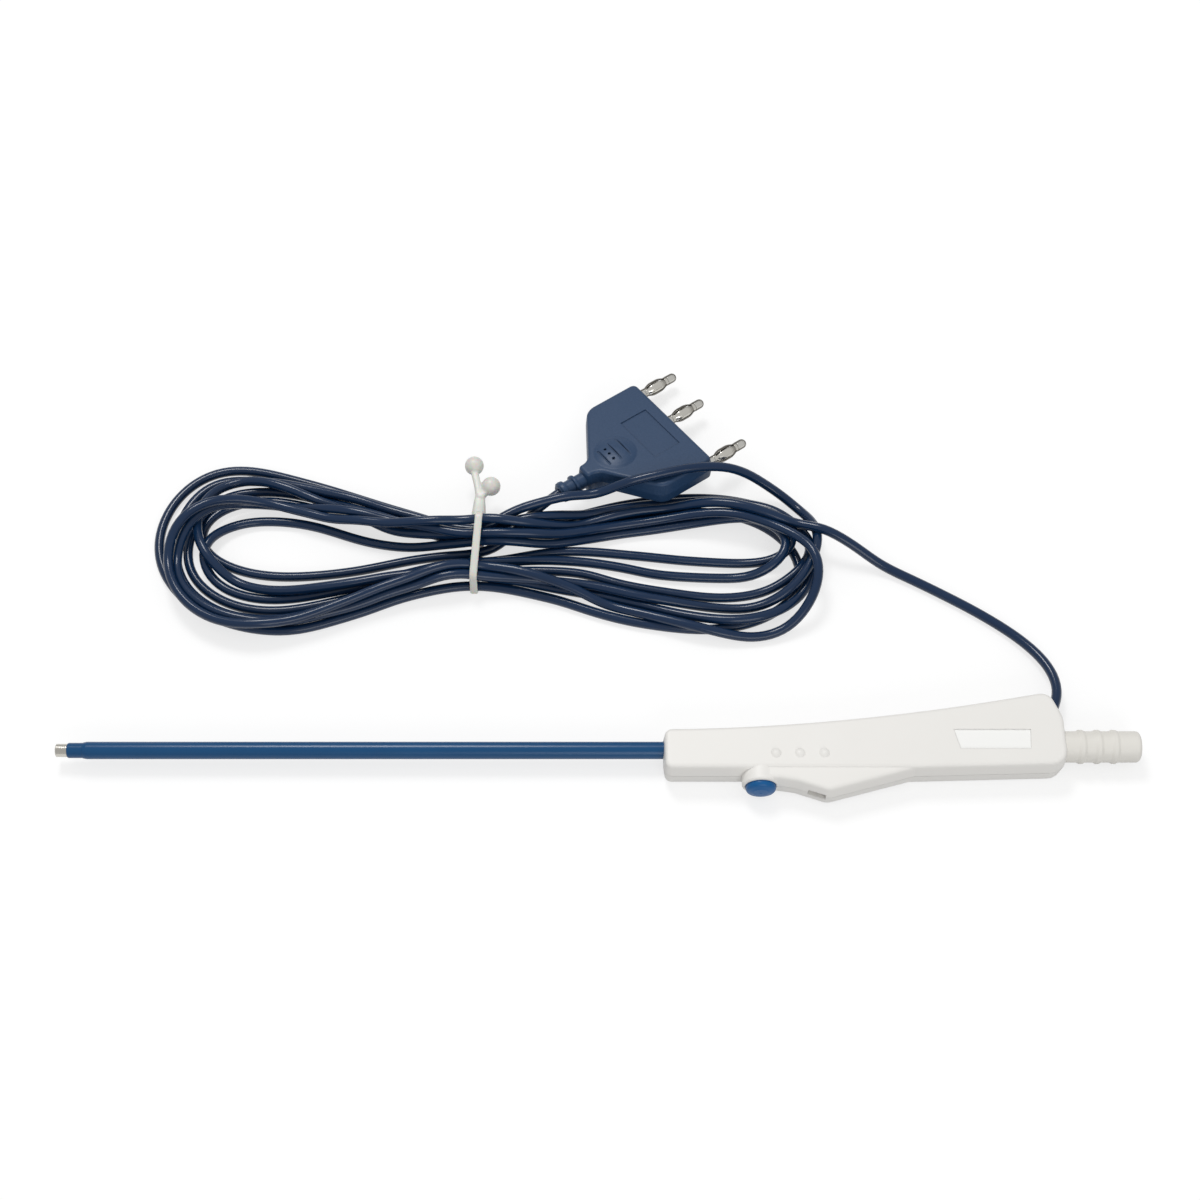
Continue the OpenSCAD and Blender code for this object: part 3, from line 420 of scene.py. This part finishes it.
def finish(name, colour, other, rough, grain=2500, depth=0.1, clouds=60, edge=0.0002,
           painted_rim_shade=None, label=None, **shader):
    """A moulded, drawn or rolled surface: its colour drifts between two close ones, and its
    roughness and normal follow its grain. A plated one gets painted shade where it turns from the
    eye, and a label's box has its own colour. The rest goes on the shader's own sockets."""
    material = bpy.data.materials.new(name)
    material.use_nodes = True
    material.diffuse_color = (*colour, 1)
    tree = material.node_tree
    surface = tree.nodes["Principled BSDF"]
    for key, value in shader.items():
        surface.inputs[key.replace("_", " ")].default_value = value
    skin = tree.nodes.new("ShaderNodeGroup")
    skin.node_tree = GRAIN
    for key, value in (("Grain", grain), ("Depth", depth), ("Clouds", clouds), ("Edge", edge)):
        skin.inputs[key].default_value = value
    tint = node(tree, "ShaderNodeMix", data_type="RGBA")
    for socket in tint.inputs:
        if socket.type == "RGBA":
            socket.default_value = (*(colour if socket.name == "A" else other), 1)
    gloss = node(tree, "ShaderNodeMapRange")
    gloss.inputs["To Min"].default_value, gloss.inputs["To Max"].default_value = rough
    join(tree, skin.outputs["Shade"], tint.inputs["Factor"])
    join(tree, skin.outputs["Shade"], gloss.inputs["Value"])
    colour_out = next(s for s in tint.outputs if s.type == "RGBA")
    # Painted shade where plated metal turns from the eye, then the label box's own colour
    masks = [(painted_rim_shade, turned_away(tree))] if painted_rim_shade else []
    masks += [(label[2], inside_box(tree, *label[:2]))] if label else []
    for shade, mask in masks:
        mixed = node(tree, "ShaderNodeMix", data_type="RGBA")
        under, over = (socket for socket in mixed.inputs if socket.type == "RGBA")
        over.default_value = (*shade, 1)
        join(tree, colour_out, under)
        join(tree, mask, mixed.inputs["Factor"])
        colour_out = next(s for s in mixed.outputs if s.type == "RGBA")
    join(tree, colour_out, surface.inputs["Base Color"])
    join(tree, gloss.outputs["Result"], surface.inputs["Roughness"])
    join(tree, skin.outputs["Normal"], surface.inputs["Normal"])
    return material


CASING = finish("casing_plastic", (0.85, 0.835, 0.80), (0.88, 0.865, 0.835), (0.38, 0.5), edge=0.0004,
                label=LABEL)
FITTING = finish("fitting_plastic", (0.78, 0.76, 0.71), (0.82, 0.80, 0.75), (0.42, 0.55), edge=0.00015)
STEEL = finish("drawn_steel", (0.55, 0.53, 0.48), (0.63, 0.61, 0.57), (0.2, 0.34), 4000, 0.3, Metallic=1.0)
SLEEVE = finish("sleeve_plastic", (0.002, 0.058, 0.165), (0.003, 0.072, 0.20), (0.2, 0.3), 3000, 0.05,
                edge=0.0001, Specular_IOR_Level=0.35)
BUTTON = finish("button_plastic", (0.001, 0.085, 0.26), (0.002, 0.105, 0.31), (0.26, 0.38),
                Specular_IOR_Level=0.3)
CORD = finish("cord_jacket", (0.003, 0.019, 0.058), (0.006, 0.026, 0.074), (0.15, 0.23), 3500, 0.1, 90,
              0.0001, Specular_IOR_Level=0.38)
TIE = finish("tie_plastic", (0.74, 0.74, 0.68), (0.80, 0.80, 0.75), (0.3, 0.42), edge=0.0001,
             Subsurface_Weight=0.35, Subsurface_Scale=0.001, Transmission_Weight=0.12)
PLUG = finish("plug_plastic", (0.008, 0.036, 0.092), (0.026, 0.062, 0.138), (0.34, 0.48), 2200, 0.6, 2200,
              0.00035, Specular_IOR_Level=0.4)
# Pins and cages get painted shade where they turn from the eye
PIN = finish("pin_metal", (0.74, 0.73, 0.68), (0.82, 0.81, 0.77), (0.1, 0.2), 4000, 0.1,
             painted_rim_shade=PAINTED_RIM_SHADE, Metallic=1.0)
CAGE = finish("cage_metal", (0.74, 0.72, 0.66), (0.84, 0.82, 0.76), (0.1, 0.22), 4000, 0.15,
              painted_rim_shade=PAINTED_RIM_SHADE, Metallic=1.0)
BOARD = finish("board_laminate", (0.02, 0.14, 0.06), (0.03, 0.19, 0.08), (0.3, 0.45), edge=0.0001)
DOME = finish("dome_steel", (0.62, 0.61, 0.58), (0.7, 0.69, 0.66), (0.15, 0.28), Metallic=1.0, edge=0.0001)
CLIP = finish("clip_brass", (0.68, 0.48, 0.19), (0.75, 0.56, 0.25), (0.2, 0.35), Metallic=1.0, edge=0.0001)
CRIMP = finish("crimp_metal", (0.5, 0.5, 0.49), (0.6, 0.6, 0.58), (0.25, 0.4), Metallic=1.0, edge=0.0001)
RED = finish("wire_red", (0.5, 0.02, 0.015), (0.6, 0.03, 0.02), (0.35, 0.45), edge=0.0001)
WHITE = finish("wire_white", (0.76, 0.76, 0.74), (0.82, 0.82, 0.8), (0.35, 0.45), edge=0.0001)

NODE_FINISH = {
    "upper_shell": CASING, "lower_shell": CASING, "suction_tube": STEEL, "inner_sleeve": SLEEVE,
    "outer_sleeve": SLEEVE, "suction_fitting": FITTING, "button": BUTTON, "switch_board": BOARD,
    "switch_dome": DOME, "tube_clip": CLIP, "active_wire": RED, "switch_wire": WHITE,
    "cord_crimp": CRIMP, "cord_lead": CORD, "cord_hank": CORD, "cord_tail": CORD, "cord_tie": TIE,
    "plug_body": PLUG, "plug_pin_1": PIN, "plug_pin_2": PIN, "plug_pin_3": PIN,
    "pin_cage_1": CAGE, "pin_cage_2": CAGE, "pin_cage_3": CAGE}


def dress(piece, material):
    """Puts one material on a piece, in the slots that it has."""
    if not piece.material_slots:
        piece.data.materials.append(material)
    for slot in piece.material_slots:
        slot.material = material


# Tie


def hull(points):
    """The points of a taut loop round a flat set of points, anticlockwise."""
    points = sorted(map(tuple, points))

    def half(line):
        kept = []
        for p in line:
            while len(kept) > 1:
                (ax, ay), (bx, by) = kept[-2:]
                if (bx - ax) * (p[1] - ay) - (by - ay) * (p[0] - ax) > 0:
                    break
                kept.pop()
            kept.append(p)
        return kept[:-1]

    return np.array(half(points) + half(points[::-1]))


def swept(points, wides, talls, sides=16, closed=False):
    """Corners and faces of a bar along points, with its own width and thickness at each of them. The
    width lies along X as far as it can. Across, it is a rounded oblong: half the width times the
    cosine and half the thickness times the sine, each to the power of square."""
    square = 0.55
    p = np.array(points, float)
    n = len(p)
    if closed:
        ahead = np.roll(p, -1, 0) - np.roll(p, 1, 0)
    else:
        ahead = np.gradient(p, axis=0)
    ahead /= np.linalg.norm(ahead, axis=1)[:, None]
    across = np.array([1.0, 0, 0]) - ahead * ahead[:, :1]
    across /= np.linalg.norm(across, axis=1)[:, None]
    up = np.cross(ahead, across)
    angle = np.linspace(0, 2 * math.pi, sides, endpoint=False)
    c = np.sign(np.cos(angle)) * np.abs(np.cos(angle)) ** square
    s = np.sign(np.sin(angle)) * np.abs(np.sin(angle)) ** square
    wides = np.broadcast_to(wides, n)
    talls = np.broadcast_to(talls, n)
    corners = (p[:, None] + across[:, None] * (c[None, :, None] * wides[:, None, None] / 2)
               + up[:, None] * (s[None, :, None] * talls[:, None, None] / 2)).reshape(-1, 3)
    faces = [(i * sides + k, i * sides + (k + 1) % sides, (i + 1) % n * sides + (k + 1) % sides,
              (i + 1) % n * sides + k) for i in range(n if closed else n - 1) for k in range(sides)]
    if not closed:
        faces += [tuple(range(sides))[::-1], tuple((n - 1) * sides + k for k in range(sides))]
    return corners, faces


def ball(middle, r, rings=12, sides=20):
    """Corners and faces of a ball: rings across Y, whose place is minus the radius times the cosine
    of an angle, and whose own radius is the radius times its sine."""
    pole = 0.05
    a = np.linspace(pole, math.pi - pole, rings)
    line = np.array(middle) + np.outer(-np.cos(a) * r, (0, 1, 0))
    angle = np.linspace(0, 2 * math.pi, sides, endpoint=False)
    ring = np.stack([np.cos(angle), np.zeros(sides), np.sin(angle)], 1)
    corners = (line[:, None] + ring[None] * (np.sin(a) * r)[:, None, None]).reshape(-1, 3)
    faces = [(i * sides + k, i * sides + (k + 1) % sides, (i + 1) * sides + (k + 1) % sides,
              (i + 1) * sides + k) for i in range(rings - 1) for k in range(sides)]
    last = (rings - 1) * sides
    return corners, faces + [tuple(range(sides))[::-1], tuple(last + k for k in range(sides))]


def one_mesh(name, parts):
    """A single object from several sets of corners and faces, in millimetres."""
    corners = []
    faces = []
    base = 0
    for c, f in parts:
        corners.append(np.asarray(c) * MM)
        faces += [tuple(i + base for i in face) for face in f]
        base += len(c)
    data = bpy.data.meshes.new(name)
    data.from_pydata(np.vstack(corners).tolist(), [], faces)
    data.validate()
    piece = bpy.data.objects.new(name, data)
    scene.collection.objects.link(piece)
    return piece


def fused(piece, voxel):
    """Joins overlapping shells of a piece into one skin of so fine a grain, and smooths it."""
    remesh = piece.modifiers.new("skin", "REMESH")
    remesh.mode = "VOXEL"
    remesh.voxel_size = voxel * MM
    smooth = piece.modifiers.new("smooth", "SMOOTH")
    smooth.factor = 0.5
    smooth.iterations = 6
    done = bpy.data.meshes.new_from_object(piece.evaluated_get(bpy.context.evaluated_depsgraph_get()))
    piece.modifiers.clear()
    piece.data = done
    for face in done.polygons:
        face.use_smooth = True
    return piece


def make_tie(cord):
    """A soft tie: a band drawn taut round the strands at the waist, a tapered neck and two balls. The
    band is the taut loop round a circle about each strand, of the cord's radius and half the band's
    thickness, and it stays above the floor."""
    near = cord[np.abs(cord[:, 0] - WAIST_X) < STEP]
    angle = np.linspace(0, 2 * math.pi, 24, endpoint=False)
    out = CORD_D / 2 + TIE_THICK / 2
    ring = np.stack([np.cos(angle), np.sin(angle)], 1) * out
    loop = hull((near[:, None, 1:] + ring[None]).reshape(-1, 2))
    loop[:, 1] = np.maximum(loop[:, 1], TIE_THICK / 2)
    loop = evenly(np.vstack([loop, loop[:1]]), TIE_STEP)[:-1]
    middle = loop[:, 0].mean()
    band = np.column_stack([WAIST_X + TIE_SHIFT + (loop[:, 0] - middle) * TIE_LEAN, loop])
    neck = through(NECK, 6)
    places = range(len(NECK))
    marks = np.linspace(0, len(NECK) - 1, len(neck))
    parts = [swept(band, TIE_WIDE, TIE_THICK, closed=True),
             swept(neck, np.interp(marks, places, NECK_WIDE), np.interp(marks, places, NECK_THICK))]
    parts += [swept(through(stem, 6), STEM_WIDE, STEM_WIDE) for stem in STEMS]
    parts += [ball(b, BALL_R) for b in BALLS]
    return fused(one_mesh("hank_tie", parts), SKIN)


# Snap dome


def make_snap_dome():
    """The dome under the button. Each face is a cap of a ball round
    the Y axis: the outer one's radius is (r squared + h squared) / 2h, and the inner one's is less
    by the dome's thickness. Both end at the board."""
    sides = 32
    rows = 7
    pole = 0.01
    outer = (DOME_R**2 + DOME_H**2) / (2 * DOME_H)
    inner = outer - DOME_T
    profile = []
    for r in (outer, inner):
        lean = np.linspace(pole, math.acos((outer - DOME_H) / r), rows)
        profile.append(np.column_stack([r * np.sin(lean), outer - DOME_H - r * np.cos(lean)]))
    profile = np.vstack([profile[0], profile[1][::-1]])
    angle = np.linspace(0, 2 * math.pi, sides, endpoint=False)
    ring = np.stack([np.cos(angle), np.zeros(sides), np.sin(angle)], 1)
    corners = (np.array(DOME_MIDDLE) + ring[None] * profile[:, :1, None]
               + profile[:, 1][:, None, None] * np.array([0, 1.0, 0])).reshape(-1, 3)
    faces = [(i * sides + k, (i + 1) * sides + k, (i + 1) * sides + (k + 1) % sides,
              i * sides + (k + 1) % sides) for i in range(2 * rows - 1) for k in range(sides)]
    last = (2 * rows - 1) * sides
    faces += [tuple(range(sides)), tuple(last + k for k in range(sides))[::-1]]
    return one_mesh("snap_dome", [(corners, faces)])


# Stage


def studio():
    """A pale floor that keeps the object's shadow and is white elsewhere where it is seen, plain soft
    light from the air, and two lamps that look at the middle."""
    bpy.ops.mesh.primitive_plane_add(size=FLOOR_SIDE)
    floor = bpy.context.object
    floor.name = "floor"
    material = bpy.data.materials.new("pale_floor")
    material.use_nodes = True
    tree = material.node_tree
    tree.nodes.clear()
    out = node(tree, "ShaderNodeOutputMaterial")
    both = node(tree, "ShaderNodeAddShader")
    matt = node(tree, "ShaderNodeBsdfDiffuse", Color=(FLOOR_GREY, FLOOR_GREY, FLOOR_GREY, 1))
    glow = node(tree, "ShaderNodeEmission", Color=(1, 1, 1, 1))
    rays = node(tree, "ShaderNodeLightPath")
    seen = node(tree, "ShaderNodeMath", operation="MAXIMUM")
    shown = node(tree, "ShaderNodeMath", operation="MAXIMUM")
    level = node(tree, "ShaderNodeMath", operation="MULTIPLY")
    level.inputs[1].default_value = FLOOR_GLOW
    join(tree, rays.outputs["Is Camera Ray"], seen.inputs[0])
    join(tree, rays.outputs["Is Glossy Ray"], seen.inputs[1])
    join(tree, seen.outputs[0], shown.inputs[0])
    join(tree, rays.outputs["Is Transmission Ray"], shown.inputs[1])
    join(tree, shown.outputs[0], level.inputs[0])
    join(tree, level.outputs[0], glow.inputs["Strength"])
    join(tree, matt.outputs[0], both.inputs[0])
    join(tree, glow.outputs[0], both.inputs[1])
    join(tree, both.outputs[0], out.inputs["Surface"])
    dress(floor, material)

    world = bpy.data.worlds.new("world")
    scene.world = world
    world.use_nodes = True
    tree = world.node_tree
    tree.nodes.clear()
    out = node(tree, "ShaderNodeOutputWorld")
    plain = node(tree, "ShaderNodeBackground", Color=(1, 1, 1, 1), Strength=AIR_LIGHT)
    white = node(tree, "ShaderNodeBackground", Color=(1, 1, 1, 1), Strength=AIR_WHITE)
    rays = node(tree, "ShaderNodeLightPath")
    mix = node(tree, "ShaderNodeMixShader")
    join(tree, rays.outputs["Is Camera Ray"], mix.inputs[0])
    join(tree, plain.outputs[0], mix.inputs[1])
    join(tree, white.outputs[0], mix.inputs[2])
    join(tree, mix.outputs[0], out.inputs["Surface"])

    for name, place, side, power in LAMPS:
        data = bpy.data.lights.new(name, "AREA")
        data.size = side
        data.energy = power
        lamp = bpy.data.objects.new(name, data)
        lamp.location = place
        lamp.rotation_euler = (-lamp.location).to_track_quat("-Z", "Y").to_euler()
        scene.collection.objects.link(lamp)


# The scene

scene.view_settings.view_transform = "Standard"
look_from_photo()

cord_points = wound_cord(plug_top)
cord = line_curve("cord", cord_points, CORD_D / 2)
dress(cord, CORD)
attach(cord, "handpiece")
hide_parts("cord_lead", "cord_hank", "cord_tail")

tie = make_tie(cord_points)
dress(tie, TIE)
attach(tie, "handpiece")
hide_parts("cord_tie")

dome = make_snap_dome()
dress(dome, DOME)
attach(dome, "handpiece")
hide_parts("switch_dome")
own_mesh(dome)

for name, material in NODE_FINISH.items():
    dress(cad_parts[name], material)

studio()
